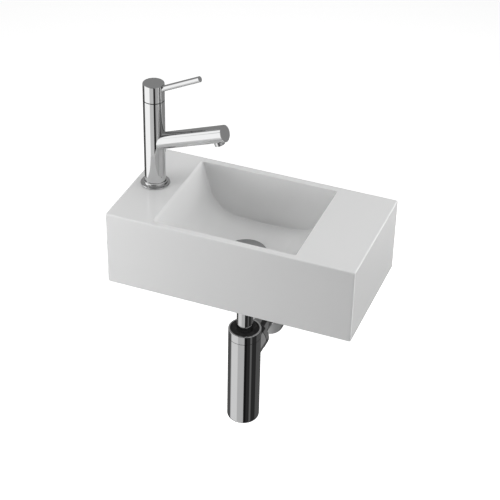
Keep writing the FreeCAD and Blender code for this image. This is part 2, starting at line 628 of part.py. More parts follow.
def make_tap_foot():
    ring = tap_body_at("tap_foot_ring")
    turned(ring, "ring", [
        ("column_r + foot_gap", "foot_seal"), ("foot_r", "foot_seal"), ("foot_r", "foot_rim"),
        ("column_r + foot_lip", "foot_rim + foot_step"), ("column_r + foot_lip", "foot_tall"),
        ("column_r + foot_gap", "foot_tall")])
    dress(ring, "Fillet", "cove", "foot_cove_r",
          lambda edge: is_circle(edge, size("column_r") + size("foot_lip"),
                                 size("foot_rim") + size("foot_step")))
    dress(ring, "Fillet", "rim", "foot_rim_r",
          lambda edge: is_circle(edge, size("foot_r"), size("foot_rim")))

    seal = tap_body_at("tap_foot_seal")
    turned(seal, "seal", tube_outline("tap_hole_r", "foot_r - foot_rim_r", "0", "foot_seal"))


def make_headwork():
    """Quarter-turn headwork: a fixed and a turning disc, a shell, and the spindle."""
    fixed = tap_body_at("headwork_disc_fixed")
    plate = new_sketch(fixed, "plate", at=("0", "0", HEADWORK_LOW))
    ring_outline(plate, "disc_r")
    for side in ("", "-"):
        ring_outline(plate, "disc_port_r", (f"{side}disc_port_out", "0"))
    pad(fixed, "disc", plate, "disc_thick")

    turning = tap_body_at("headwork_disc_turning")
    plate = new_sketch(turning, "plate", at=("0", "0", f"{HEADWORK_LOW} + disc_thick + disc_gap"))
    ring_outline(plate, "disc_r")
    for side in ("", "-"):
        ring_outline(plate, "disc_port_r", ("0", f"{side}disc_port_out"))
    pad(turning, "disc", plate, "disc_thick")

    spindle = tap_body_at("headwork_spindle")
    turned(spindle, "spindle", [
        ("0", SPINDLE_LOW), ("spindle_foot_r", SPINDLE_LOW),
        ("spindle_foot_r", f"{SPINDLE_LOW} + spindle_foot"), ("spindle_r", f"{SPINDLE_LOW} + spindle_foot"),
        ("spindle_r", "column_tall + spindle_up"), ("0", "column_tall + spindle_up")])

    shell = tap_body_at("headwork_body")
    roof = f"{SPINDLE_LOW} + spindle_foot + glide_gap"
    turned(shell, "shell", [
        ("headwork_bore_r", HEADWORK_LOW), ("headwork_r", HEADWORK_LOW),
        ("headwork_r", "column_tall + groove_tall / 2"),
        ("spindle_r + spindle_gap", "column_tall + groove_tall / 2"),
        ("spindle_r + spindle_gap", roof), ("headwork_bore_r", roof)])


def make_handle():
    """Cap, its clamp screw and the thin lever that rises over the spout."""
    cap = tap_body_at("handle_cap")
    turned(cap, "cap", [
        ("spindle_r + cap_gap", f"{CAP_LOW} + cap_hollow"), ("cap_hollow_r", f"{CAP_LOW} + cap_hollow"),
        ("cap_hollow_r", CAP_LOW), ("column_r", CAP_LOW), ("column_r", f"{CAP_LOW} + cap_tall"),
        ("0", f"{CAP_LOW} + cap_tall"), ("0", "column_tall + spindle_up + cap_gap"),
        ("spindle_r + cap_gap", "column_tall + spindle_up + cap_gap")])
    dress(cap, "Fillet", "top_edge", "cap_edge_r", lambda edge: is_circle(
        edge, size("column_r"), size("column_tall") + size("groove_tall") + size("cap_tall")))
    bored(cap, "lever_socket", [
        ("lever_root - screw_gap", "0"), ("lever_reach", "0"), ("lever_reach", "lever_r + lever_gap"),
        ("lever_root - screw_gap", "lever_r + lever_gap")], about="H_Axis",
        at=("0", "lever_rise", "0"), turn="lever_slope")
    bored(cap, "screw_hole", [
        ("0", "0"), ("0", "screw_r + screw_gap"), ("-lever_reach", "screw_r + screw_gap"),
        ("-lever_reach", "0")], about="H_Axis", at=("0", "screw_rise", "0"))

    lever = tap_body_at("lever_pin")
    turned(lever, "pin", [
        ("lever_root", "0"), ("lever_reach", "0"), ("lever_reach", "lever_r"), ("lever_root", "lever_r")],
        about="H_Axis", at=("0", "lever_rise", "0"), turn="lever_slope")
    dress(lever, "Chamfer", "end", "edge_break",
          lambda edge: is_circle(edge, size("lever_r")) and edge.BoundBox.XMax > size("lever_reach") / 2)

    screw = tap_body_at("handle_grub_screw")
    turned(screw, "screw", [
        ("-spindle_r - screw_gap", "0"), ("-spindle_r - screw_gap", "screw_r"),
        ("-column_r + screw_inset", "screw_r"), ("-column_r + screw_inset", "0")],
        about="H_Axis", at=("0", "screw_rise", "0"))

    glide = tap_body_at("handle_glide_ring")
    turned(glide, "ring", tube_outline("headwork_r + glide_clear", "column_r - glide_inset", "column_tall",
                                       f"{CAP_LOW} - glide_gap"))


def make_aerator():
    """Chrome ring under the spout's end, with a holed insert and a flat seal inside it."""
    low = "-spout_r - aerator_proud"
    housing = tap_body_at("aerator_housing")
    turned(housing, "ring", tube_outline("aerator_r - aerator_wall", "aerator_r", low,
                                         f"{low} + aerator_tall"),
           at=AERATOR_AT, turn="spout_slope")
    insert = tap_body_at("aerator_insert")
    face = f"{low} + insert_up"
    corners = [("0", face)]
    for ring in range(1, INSERT_RINGS + 1):
        inner = f"insert_step * {2 * ring - 1}"
        outer = f"insert_step * {2 * ring}"
        corners += [(inner, face), (inner, f"{face} + insert_groove"),
                    (outer, f"{face} + insert_groove"), (outer, face)]
    corners += [("aerator_r - aerator_wall - aerator_gap", face),
                ("aerator_r - aerator_wall - aerator_gap", f"{face} + insert_tall"),
                ("0", f"{face} + insert_tall")]
    turned(insert, "insert", corners, at=AERATOR_AT, turn="spout_slope")
    seal = tap_body_at("aerator_seal")
    turned(seal, "seal", tube_outline("waterway_r", "aerator_r", f"{low} + aerator_tall", AERATOR_TOP),
           at=AERATOR_AT, turn="spout_slope")


def make_tap_tail():
    """Threaded tail that holds the tap down, with the rings and the nut below the deck."""
    tail = tap_body_at("tap_tail")
    turned(tail, "tail", [
        ("tail_bore_r", f"{SHANK_LOW} - tail_long"), ("tail_r", f"{SHANK_LOW} - tail_long"),
        ("tail_r", SHANK_LOW), ("shank_r", SHANK_LOW), ("shank_r", "foot_seal + tail_up"),
        ("tail_bore_r", "foot_seal + tail_up")])
    below = "-deck_thick"
    for label, thick in (("tap_deck_seal", "tail_seal"), ("tap_deck_washer", "tail_washer")):
        ring = tap_body_at(label)
        turned(ring, "ring", tube_outline("shank_r + tail_gap", "tail_ring_r",
                                          f"{below} - {thick}", below))
        below = f"{below} - {thick}"
    nut = tap_body_at("tap_back_nut")
    face = new_sketch(nut, "face", at=("0", "0", f"{below} - tail_nut"))
    hexagon(face, "tail_nut_flats")
    ring_outline(face, "shank_r + tail_gap")
    pad(nut, "nut", face, "tail_nut")


# ---------------------------------------------------------------- waste
def waste_body_at(label):
    """A body in the waste's own frame: its origin on the bowl's lowest line."""
    return new_body(label, at=("waste_x", "waste_y", BELOW_DECK))


def make_waste():
    """Flanged tube through the floor, clamped from below, with a spoked hub inside it."""
    seal = waste_body_at("waste_flange_seal")
    turned(seal, "seal", tube_outline("waste_hole_r", "flange_r", "-seat_deep", "-seat_deep + flange_seal"))

    body = waste_body_at("waste_body")
    flange_low = "-seat_deep + flange_seal"
    turned(body, "tube", [
        ("waste_bore_r", "-waste_long"), ("waste_r", "-waste_long"), ("waste_r", flange_low),
        ("flange_r", flange_low), ("flange_r", f"{flange_low} + flange_thick"),
        ("waste_bore_r", f"{flange_low} + flange_thick")])
    hub = new_sketch(body, "hub", at=("0", "0", "-hub_low"))
    ring_outline(hub, "hub_r")
    pad(body, "hub_pad", hub, "hub_tall")
    for turn in ("0", "60", "120"):
        spoke = new_sketch(body, f"spoke_{turn}", at=("0", "0", "-hub_low"), turn=turn)
        box_outline(spoke, "-waste_bore_r - spoke_in", "-spoke_wide / 2",
                    "waste_bore_r + spoke_in", "spoke_wide / 2")
        pad(body, f"spoke_{turn}_pad", spoke, "hub_tall")

    floor = "-seat_deep - seat_wall"
    ring = waste_body_at("waste_lower_seal")
    turned(ring, "seal", tube_outline("waste_r + waste_gap", "lower_seal_r",
                                      f"{floor} - lower_seal", floor))
    washer = waste_body_at("waste_lower_washer")
    turned(washer, "washer", tube_outline("waste_r + waste_gap", "lower_seal_r",
                                          f"{floor} - lower_seal - waste_washer", f"{floor} - lower_seal"))
    nut = waste_body_at("waste_back_nut")
    nut_top = f"{floor} - lower_seal - waste_washer"
    turned(nut, "nut", tube_outline("waste_r + waste_gap", "waste_nut_r",
                                    f"{nut_top} - waste_nut", nut_top))
    dress(nut, "Chamfer", "edge", "edge_break", lambda edge: is_circle(edge, size("waste_nut_r")))


def make_click_cover():
    """Click cartridge on the hub, and the plunger, cover and seal that rise and fall with it."""
    cartridge = waste_body_at("click_cartridge")
    hub_top = "-hub_low + hub_tall"
    turned(cartridge, "cartridge", [
        ("0", hub_top), ("cartridge_r", hub_top), ("cartridge_r", f"{hub_top} + cartridge_tall"),
        ("plunger_r + plunger_gap", f"{hub_top} + cartridge_tall"),
        ("plunger_r + plunger_gap", f"{hub_top} + plunger_foot"), ("0", f"{hub_top} + plunger_foot")])
    plunger = waste_body_at("click_plunger")
    plunger_low = f"{hub_top} + plunger_foot + plunger_room"
    turned(plunger, "plunger", [
        ("0", plunger_low), ("plunger_r", plunger_low),
        ("plunger_r", "cover_lip - glide_gap"), ("0", "cover_lip - glide_gap")])
    cover = waste_body_at("waste_cover")
    turned(cover, "cover", [
        ("0", "cover_lip"), ("plunger_r + screw_gap", "cover_lip"),
        ("plunger_r + screw_gap", "cover_lip - cover_boss"),
        ("cover_boss_r", "cover_lip - cover_boss"), ("cover_boss_r", "cover_lip"),
        ("cover_r", "cover_lip"), ("cover_r", "cover_lip + cover_thick"),
        ("cover_r / 2", "cover_lip + cover_thick + cover_crown * 3 / 4"),
        ("0", "cover_lip + cover_thick + cover_crown")])
    dress(cover, "Fillet", "edge", "cover_edge_r", lambda edge: is_circle(edge, size("cover_r")))
    seal = waste_body_at("waste_cover_seal")
    seal_low = "-seat_deep + flange_seal + flange_thick + cover_seal_lift"
    turned(seal, "seal", tube_outline("cover_seal_r - cover_seal_wide", "cover_seal_r", seal_low,
                                      "cover_lip"))


# ---------------------------------------------------------------- trap
def trap_body_at(label):
    """A body on the trap's axis, at the row's own height."""
    return new_body(label, at=("waste_x", "waste_y", "0"))


WASTE_END = "deck_z - bowl_deep - waste_long"
NECK_TOP = "-trap_top - top_nut_lip - top_seal"       # top of the cup's neck, under the seal


def make_trap_inlet():
    """Union nut, gasket and dip tube that hang from the waste's lower end."""
    collar_top = f"{WASTE_END} - inlet_gasket"
    gasket = trap_body_at("trap_inlet_gasket")
    turned(gasket, "gasket", tube_outline("dip_r", "dip_collar_r", collar_top, WASTE_END))
    dip = trap_body_at("trap_dip_tube")
    turned(dip, "tube", [
        ("dip_r - dip_wall", "-dip_low"), ("dip_r", "-dip_low"), ("dip_r", f"{collar_top} - dip_collar"),
        ("dip_collar_r", f"{collar_top} - dip_collar"), ("dip_collar_r", collar_top),
        ("dip_r - dip_wall", collar_top)])
    nut = trap_body_at("trap_inlet_nut")
    lip_top = f"{collar_top} - dip_collar"
    nut_low = f"{lip_top} - inlet_nut_lip"
    nut_top = f"{nut_low} + inlet_nut_tall"
    turned(nut, "nut", [
        ("dip_r + dip_gap", nut_low), ("inlet_nut_r", nut_low), ("inlet_nut_r", nut_top),
        ("waste_r + waste_gap", nut_top), ("waste_r + waste_gap", lip_top),
        ("dip_r + dip_gap", lip_top)])
    dress(nut, "Fillet", "edges", "edge_break", lambda edge: is_circle(edge, size("inlet_nut_r")))


def make_trap():
    """Chrome cup with a side branch, closed above by the top nut."""
    nut_low = "-trap_top - top_nut_tall"
    nut = trap_body_at("trap_top_nut")
    lip_low = "-trap_top - top_nut_lip"
    turned(nut, "nut", [
        ("top_nut_open_r", lip_low), ("top_nut_open_r", "-trap_top"), ("trap_r", "-trap_top"),
        ("trap_r", nut_low), ("neck_r + trap_gap", nut_low), ("neck_r + trap_gap", lip_low)])
    dress(nut, "Fillet", "top_edge", "trap_edge_r",
          lambda edge: is_circle(edge, size("trap_r"), -size("trap_top")))
    seal = trap_body_at("trap_top_seal")
    turned(seal, "seal", tube_outline("dip_r + dip_gap", "neck_r", NECK_TOP, lip_low))
    ring = trap_body_at("trap_cup_seal")
    turned(ring, "ring", tube_outline("neck_r + trap_gap", "trap_r - cup_seal_inset",
                                      f"{nut_low} - cup_seal", nut_low))

    cup = trap_body_at("trap_body")
    shoulder = f"{nut_low} - cup_seal"
    turned(cup, "cup", [
        ("0", "-trap_low"), ("trap_r", "-trap_low"), ("trap_r", shoulder), ("neck_r", shoulder),
        ("neck_r", NECK_TOP), ("0", NECK_TOP)])
    dress(cup, "Fillet", "bottom", "trap_round",
          lambda edge: is_circle(edge, size("trap_r"), -size("trap_low")))
    turned(cup, "branch", [
        ("0", "0"), ("branch_r", "0"), ("branch_r", "branch_long"), ("0", "branch_long")],
        plane="XY_Plane", at=("0", "0", "-outlet_z"))
    turned(cup, "spigot", [
        ("0", "branch_long - spigot_long"), ("spigot_r", "branch_long - spigot_long"),
        ("spigot_r", "branch_long + spigot_long"), ("0", "branch_long + spigot_long")],
        plane="XY_Plane", at=("0", "0", "-outlet_z"))
    bored(cup, "chamber", [
        ("0", "-trap_low + trap_wall"), ("trap_r - trap_wall", "-trap_low + trap_wall"),
        ("trap_r - trap_wall", f"{shoulder} - trap_wall"),
        ("neck_r - neck_wall", f"{shoulder} - trap_wall"), ("neck_r - neck_wall", NECK_TOP),
        ("0", NECK_TOP)])
    bored(cup, "branch_bore", [
        ("0", "0"), ("branch_bore_r", "0"), ("branch_bore_r", "branch_long + spigot_long - socket_deep"),
        ("outlet_r + outlet_gap", "branch_long + spigot_long - socket_deep"),
        ("outlet_r + outlet_gap", "branch_long + spigot_long"), ("0", "branch_long + spigot_long")],
        plane="XY_Plane", at=("0", "0", "-outlet_z"))


def make_outlet():
    """Outlet nut, seal and tube to the wall, and the rosette that covers the wall hole."""
    spigot_end = "branch_long + spigot_long"
    at = ("waste_x", "waste_y", "-outlet_z")
    seal = new_body("trap_outlet_seal", at)
    turned(seal, "seal", tube_outline("outlet_r + outlet_gap", "spigot_r", spigot_end,
                                      f"{spigot_end} + outlet_seal"), plane="XY_Plane")
    nut = new_body("trap_outlet_nut", at)
    wall_in = f"{spigot_end} + outlet_seal"
    turned(nut, "nut", [
        ("spigot_r + trap_gap", "branch_long + nut_line"), ("outlet_nut_r", "branch_long + nut_line"),
        ("outlet_nut_r", f"{wall_in} + outlet_nut_wall"),
        ("outlet_r + outlet_gap", f"{wall_in} + outlet_nut_wall"),
        ("outlet_r + outlet_gap", wall_in), ("spigot_r + trap_gap", wall_in)], plane="XY_Plane")
    dress(nut, "Fillet", "end_edge", "nut_edge_r", lambda edge: is_circle(
        edge, size("outlet_nut_r")) and edge.BoundBox.YMin > size("branch_long") + size("spigot_long"))
    tube = new_body("trap_outlet_tube", at)
    turned(tube, "tube", tube_outline("outlet_r - outlet_wall", "outlet_r",
                                      f"{spigot_end} - socket_deep", "-waste_y + outlet_in_wall"),
           plane="XY_Plane")
    bored(tube, "depth_mark", tube_outline("outlet_r - mark_deep", "outlet_r + mark_deep",
                                           "-waste_y", "-waste_y + mark_wide"), plane="XY_Plane")
    rosette = new_body("wall_rosette", ("waste_x", "0", "-outlet_z"))
    turned(rosette, "shell", [
        ("outlet_r + rosette_gap", "-rosette_tall"), ("rosette_r", "-rosette_tall"), ("rosette_r", "0"),
        ("rosette_r - rosette_wall", "0"), ("rosette_r - rosette_wall", "-rosette_tall + rosette_wall"),
        ("outlet_r + rosette_gap", "-rosette_tall + rosette_wall")], plane="XY_Plane")
    dress(rosette, "Fillet", "edge", "rosette_round", lambda edge: is_circle(
        edge, size("rosette_r"), -size("rosette_tall"), axis="y"))


# ---------------------------------------------------------------- build, check and write
def check_document():
    """Stop if any object failed, or if a piece has no valid solid."""
    doc.recompute()
    for item in doc.Objects:
        if {"Invalid", "Error"} & set(item.State):
            raise RuntimeError(f"{item.Name}: {item.State}")
    for part in PARTS:
        if part.Shape.isNull() or not part.Shape.isValid() or not part.Shape.Solids:
            raise RuntimeError(f"{part.Label}: no valid solid")


make_basin()
make_wall_fixing()
make_tap_column()
make_tap_foot()
make_headwork()
make_handle()
make_aerator()
make_tap_tail()
make_waste()
make_click_cover()
make_trap_inlet()
make_trap()
make_outlet()
check_document()

os.makedirs("parts", exist_ok=True)
for part in PARTS:
    part.Shape.exportStep(f"parts/{part.Label}.step")
    box = part.Shape.BoundBox
    print(f"{part.Label}: {len(part.Shape.Solids)} solid, {part.Shape.Volume / 1000:.1f} cm3, "
          f"x {box.XMin:.1f}..{box.XMax:.1f} y {box.YMin:.1f}..{box.YMax:.1f} "
          f"z {box.ZMin:.1f}..{box.ZMax:.1f}")
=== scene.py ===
"""Looks of the wall hung basin: glazed ceramic block, chrome tap, click waste and bottle trap."""

import json
import math

import bpy
from mathutils import Matrix, Vector


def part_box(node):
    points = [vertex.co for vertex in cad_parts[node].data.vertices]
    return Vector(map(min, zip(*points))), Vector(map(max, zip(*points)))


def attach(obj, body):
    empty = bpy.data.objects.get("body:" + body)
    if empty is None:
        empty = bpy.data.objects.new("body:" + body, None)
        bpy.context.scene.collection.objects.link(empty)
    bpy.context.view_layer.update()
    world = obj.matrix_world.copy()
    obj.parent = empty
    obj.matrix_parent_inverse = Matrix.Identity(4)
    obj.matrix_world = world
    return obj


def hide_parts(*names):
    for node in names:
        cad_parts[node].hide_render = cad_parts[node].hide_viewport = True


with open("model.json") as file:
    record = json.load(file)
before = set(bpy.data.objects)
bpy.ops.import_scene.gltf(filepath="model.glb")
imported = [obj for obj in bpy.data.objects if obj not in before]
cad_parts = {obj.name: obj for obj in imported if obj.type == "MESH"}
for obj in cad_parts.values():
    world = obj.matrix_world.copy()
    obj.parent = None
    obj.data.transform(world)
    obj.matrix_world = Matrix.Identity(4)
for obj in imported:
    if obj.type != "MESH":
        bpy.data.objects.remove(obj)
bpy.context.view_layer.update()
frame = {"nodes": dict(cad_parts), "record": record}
NODES = frame["nodes"]
MM = 0.001


# ---------------------------------------------------------------- shader kit
class Value:
    """A node's output that takes part in Python arithmetic, adding Math nodes."""

    def __init__(self, finish, socket):
        self.finish = finish
        self.socket = socket

    def _math(self, operation, first, second):
        return self.finish.node("Math", {"operation": operation}, {0: first, 1: second})

    def __add__(self, other):
        return self._math("ADD", self, other)

    def __radd__(self, other):
        return self._math("ADD", other, self)

    def __sub__(self, other):
        return self._math("SUBTRACT", self, other)

    def __rsub__(self, other):
        return self._math("SUBTRACT", other, self)

    def __mul__(self, other):
        return self._math("MULTIPLY", self, other)

    def __rmul__(self, other):
        return self._math("MULTIPLY", other, self)

    def __truediv__(self, other):
        return self._math("DIVIDE", self, other)

    def __pow__(self, other):
        return self._math("POWER", self, other)

    def __gt__(self, other):
        return self._math("GREATER_THAN", self, other)

    def __lt__(self, other):
        return self._math("LESS_THAN", self, other)


class Tree:
    """A node tree that a material or the world is written in."""

    def __init__(self, owner):
        owner.use_nodes = True
        self.owner = owner
        self.tree = owner.node_tree
        self.tree.nodes.clear()

    def node(self, kind, settings=None, sockets=None, output=0):
        """Add one shader node: its settings first, then the values or links of its sockets."""
        made = self.tree.nodes.new("ShaderNode" + kind)
        for name, value in (settings or {}).items():
            if name == "stops":
                self._set_stops(made.color_ramp, value)
            else:
                setattr(made, name, value)
        for name, value in (sockets or {}).items():
            self.plug(made.inputs[name], value)
        return Value(self, made.outputs[output])

    def plug(self, socket, value):
        if isinstance(value, Value):
            self.tree.links.new(value.socket, socket)
        else:
            socket.default_value = value

    @staticmethod
    def _set_stops(ramp, stops):
        while len(ramp.elements) < len(stops):
            ramp.elements.new(1.0)
        for element, (position, shade) in zip(ramp.elements, stops):
            element.position = position
            element.color = (*shade, 1.0) if isinstance(shade, tuple) else (shade, shade, shade, 1.0)

    def ramp(self, factor, stops, ease="LINEAR"):
        """A colour ramp; its stops are (position, grey or colour)."""
        made = self.node("ValToRGB", {"stops": stops}, {"Fac": factor})
        made.socket.node.color_ramp.interpolation = ease
        return made

    def between(self, value, low, high):
        """0 below low, 1 above high, and smooth between them."""
        return self.node("MapRange", {"interpolation_type": "SMOOTHSTEP"},
                         {"Value": value, "From Min": low, "From Max": high})

    def mixed(self, factor, first, second):
        """Two colours mixed by a factor."""
        return self.node("Mix", {"data_type": "RGBA"}, {0: factor, 6: first, 7: second}, output=2)


class Finish(Tree):
    """A material with its Principled shader ready; constants go on the shader's own sockets."""

    def __init__(self, name, constants):
        super().__init__(bpy.data.materials.new(name))
        self.principled = self.tree.nodes.new("ShaderNodeBsdfPrincipled")
        out = self.tree.nodes.new("ShaderNodeOutputMaterial")
        self.tree.links.new(self.principled.outputs[0], out.inputs["Surface"])
        for socket, value in constants.items():
            self.principled.inputs[socket].default_value = value

    def feed(self, **varying):
        """Link what changes over the surface; Base_Color stands for the socket 'Base Color'."""
        for socket, value in varying.items():
            self.plug(self.principled.inputs[socket.replace("_", " ")], value)
        return self.owner

    def place(self, stretch=(1, 1, 1)):
        """The point on the object in the row frame, in metres, stretched along its axes."""
        point = self.node("TexCoord", output=3)
        if stretch == (1, 1, 1):
            return point
        return self.node("Mapping", {"vector_type": "POINT"}, {"Vector": point, "Scale": stretch})

    def noise(self, per_metre, detail=3.0, rough=0.5, stretch=(1, 1, 1), distort=0.0):
        return self.node("TexNoise", {}, {
            "Vector": self.place(stretch), "Scale": per_metre, "Detail": detail, "Roughness": rough,
            "Distortion": distort})

    def axes(self):
        """The x, y and z of the place on the object."""
        split = self.node("SeparateXYZ", {}, {0: self.place()})
        node = split.socket.node
        return [Value(self, node.outputs[i]) for i in range(3)]

    def bump(self, height, strength, distance):
        return self.node("Bump", {}, {"Height": height, "Strength": strength, "Distance": distance})


# ---------------------------------------------------------------- finishes
def grey(level):
    return (level, level, level, 1.0)


def glaze():
    """White glaze over a cream body: glossy outside, bare and matt where the block meets the wall."""
    made = Finish("glaze", {"IOR": 1.5, "Coat Roughness": 0.03, "Coat IOR": 1.5})
    x, y, z = made.axes()
    low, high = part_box("basin_ceramic")
    at_wall = made.between(y, high.y - 0.9 * MM, high.y - 0.2 * MM)
    at_foot = 1 - made.between(z, low.z + 0.2 * MM, low.z + 1.2 * MM)
    bare = made.node("Math", {"operation": "MAXIMUM"}, {0: at_wall, 1: at_foot})
    cloud = made.noise(9, detail=4, rough=0.55)
    speck = made.between(made.noise(900, detail=2, rough=0.6), 0.74, 0.80)
    tone = made.mixed(cloud, (0.815, 0.818, 0.82, 1), (0.835, 0.836, 0.832, 1))
    biscuit = made.mixed(made.noise(260, detail=6, rough=0.7), (0.66, 0.62, 0.55, 1), (0.76, 0.73, 0.67, 1))
    tone = made.mixed(speck * 0.25, tone, (0.55, 0.54, 0.52, 1))
    ripple = made.noise(55, detail=2, rough=0.4)
    grain = made.noise(1400, detail=3, rough=0.6)
    height = (1 - bare) * ripple * 0.16 + bare * grain * 0.5
    return made.feed(
        Base_Color=made.mixed(bare, tone, biscuit),
        Roughness=0.09 + made.noise(30, detail=3) * 0.05 + bare * 0.7,
        Coat_Weight=(1 - bare) * 0.5,
        Normal=made.bump(height, 0.25, 0.4 * MM))


def chrome(name, tint=0.68, smear=0.03, rough=0.03):
    """Polished plate with faint wiping marks and water haze."""
    made = Finish(name, {"Metallic": 1.0, "IOR": 2.2})
    haze = made.noise(38, detail=5, rough=0.6, distort=0.4)
    wiped = made.noise(700, detail=2, rough=0.5, stretch=(1, 1, 0.06))
    drop = made.between(made.noise(210, detail=1), 0.66, 0.72)
    dull = (tint * 0.955, tint * 0.965, tint * 0.975, 1)
    bright = (tint, tint, tint, 1)
    return made.feed(
        Base_Color=made.mixed(haze * 0.6 + drop * 0.25, bright, dull),
        Roughness=rough + haze * smear + drop * 0.02,
        Normal=made.bump(wiped + haze * 0.6, 0.04, 0.05 * MM))


def steel():
    """Zinc plate: grey with a faint blue and yellow cast, and rubbed by tools."""
    made = Finish("zinc_steel", {"Metallic": 1.0})
    cast = made.noise(160, detail=5, rough=0.6)
    rub = made.noise(1200, detail=3, rough=0.5, stretch=(1, 0.15, 1))
    return made.feed(
        Base_Color=made.mixed(cast, (0.60, 0.62, 0.65, 1), (0.70, 0.68, 0.60, 1)),
        Roughness=0.22 + rub * 0.22,
        Normal=made.bump(rub + cast * 0.5, 0.25, 0.06 * MM))


def brass():
    """Turned brass with dull patches and fine tool rings."""
    made = Finish("turned_brass", {"Metallic": 1.0})
    tarnish = made.noise(120, detail=5, rough=0.62)
    rings = made.node("TexWave", {"wave_type": "BANDS", "bands_direction": "Z"}, {
        "Vector": made.place(), "Scale": 900.0, "Distortion": 1.5, "Detail": 2.0}, output=1)
    return made.feed(
        Base_Color=made.mixed(made.between(tarnish, 0.35, 0.75), (0.78, 0.60, 0.30, 1), (0.50, 0.37, 0.18, 1)),
        Roughness=0.20 + tarnish * 0.25,
        Normal=made.bump(rings, 0.12, 0.05 * MM))


def rubber():
    """Black rubber with a bloom of grey dust and a moulded grain."""
    made = Finish("black_rubber", {"Specular IOR Level": 0.35})
    bloom = made.noise(140, detail=6, rough=0.65)
    grain = made.noise(2600, detail=3, rough=0.6)
    return made.feed(
        Base_Color=made.mixed(made.between(bloom, 0.4, 0.8), (0.018, 0.018, 0.019, 1), (0.060, 0.058, 0.056, 1)),
        Roughness=0.62 + bloom * 0.25,
        Normal=made.bump(grain, 0.35, 0.08 * MM))


def moulded(name, dark, light, gloss=0.42):
    """Injection moulded plastic: fine eroded grain and slight flow clouds."""
    made = Finish(name, {"IOR": 1.47})
    flow = made.noise(70, detail=4, rough=0.5, stretch=(1, 1, 0.4))
    grain = made.noise(3200, detail=2, rough=0.55)
    return made.feed(
        Base_Color=made.mixed(flow, dark, light),
        Roughness=gloss + grain * 0.16,
        Normal=made.bump(grain, 0.2, 0.05 * MM))


def alumina():
    """Lapped ceramic disc: off-white, satin, with a hint of grain."""
    made = Finish("lapped_alumina", {"IOR": 1.76})
    grain = made.noise(1800, detail=4, rough=0.6)
    return made.feed(
        Base_Color=made.mixed(grain, (0.80, 0.79, 0.75, 1), (0.88, 0.87, 0.83, 1)),
        Roughness=0.16 + grain * 0.14,
        Normal=made.bump(grain, 0.1, 0.03 * MM))


FINISHES = {
    "glaze": glaze(),
    "chrome": chrome("tap_chrome"),
    "brass": brass(),
    "rubber": rubber(),
    "steel": steel(),
    "nylon": moulded("nylon", (0.72, 0.71, 0.68, 1), (0.80, 0.79, 0.76, 1)),
    "plastic": moulded("black_plastic", (0.020, 0.020, 0.022, 1), (0.034, 0.034, 0.036, 1)),
    "mesh": moulded("grey_plastic", (0.10, 0.10, 0.11, 1), (0.15, 0.15, 0.16, 1)),
    "alumina": alumina(),
}
# painted shade: the outlet chrome's tint of 0.40 darkens the trap's outlet nut and tube, standing in for the
# shade and dark reflections under the basin
OUTLET_CHROME_PAINTED_SHADE = chrome("outlet_chrome_painted_shade", tint=0.40, smear=0.06)
# pieces whose chrome differs from the tap's: the rosette is duller and the waste cover darker, and the outlet
# nut and tube are darker as painted shade
OWN_CHROME_AND_PAINTED_SHADE = {
    "wall_rosette": chrome("rosette_chrome", tint=0.68, smear=0.10, rough=0.30),
    "waste_cover": chrome("cover_chrome", tint=0.50, smear=0.10),
    "trap_outlet_nut": OUTLET_CHROME_PAINTED_SHADE,
    "trap_outlet_tube": OUTLET_CHROME_PAINTED_SHADE,
}

for part in frame["record"]["subparts"]:
    node = NODES[part["node"]]
    node.data.materials.clear()
    node.data.materials.append(OWN_CHROME_AND_PAINTED_SHADE.get(part["node"], FINISHES[part["material_slot"]]))


# ---------------------------------------------------------------- modelling kit
def begin(name):
    """What the last primitive made becomes a piece of its own, open in edit mode."""
    bpy.context.object.name = name
    bpy.ops.object.mode_set(mode="EDIT")
    return bpy.context.object


def settle(piece, body, slot, *nodes):
    """Close the piece, put its place into its mesh, and hang it on its body and finish."""
    bpy.ops.object.mode_set(mode="OBJECT")
    bpy.ops.object.transform_apply(location=True, rotation=True, scale=True)
    bpy.ops.object.shade_smooth_by_angle(angle=math.radians(SMOOTH_BELOW))
    piece.data.materials.clear()
    piece.data.materials.append(FINISHES[slot])
    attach(piece, body)
    if nodes:
        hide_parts(*nodes)
    piece.select_set(False)
    return piece


SMOOTH_BELOW = 32
MERGE_BELOW = 0.001 * MM


def lathe(name, foot, way, path, tube=False, sides=48):
    """Rings pulled along an axis: path holds (distance from the foot, radius).

    A rod starts as a capped disc; a tube's path runs round its wall and closes on its first ring.
    """
    way = Vector(way).normalized()
    foot = Vector(foot)
    turn = way.to_track_quat("Z", "Y").to_euler()
    bpy.ops.object.select_all(action="DESELECT")
    along, radius = path[0]
    bpy.ops.mesh.primitive_circle_add(vertices=sides, radius=radius, fill_type="NOTHING" if tube else "NGON",
                                      location=foot + way * along, rotation=turn)
    piece = begin(name)
    bpy.ops.mesh.select_all(action="SELECT")
    for further, wider in path[1:] + (path[:1] if tube else []):
        bpy.ops.mesh.extrude_region_move(TRANSFORM_OT_translate={"value": way * (further - along)})
        bpy.ops.transform.resize(value=(wider / radius,) * 3, center_override=foot + way * further)
        along, radius = further, wider
    bpy.ops.mesh.select_all(action="SELECT")
    bpy.ops.mesh.remove_doubles(threshold=MERGE_BELOW)
    bpy.ops.mesh.normals_make_consistent(inside=False)
    return piece


def thread(start, end, crest, pitch, deep):
    """The path of a thread's rings between two distances, from root to crest and back."""
    root = crest - deep
    ridges = int((end - start) / pitch)
    path = [(start, root)]
    for ridge in range(ridges):
        low = start + ridge * pitch
        path += [(low + 0.40 * pitch, crest), (low + 0.55 * pitch, crest), (low + 0.95 * pitch, root)]
    return path


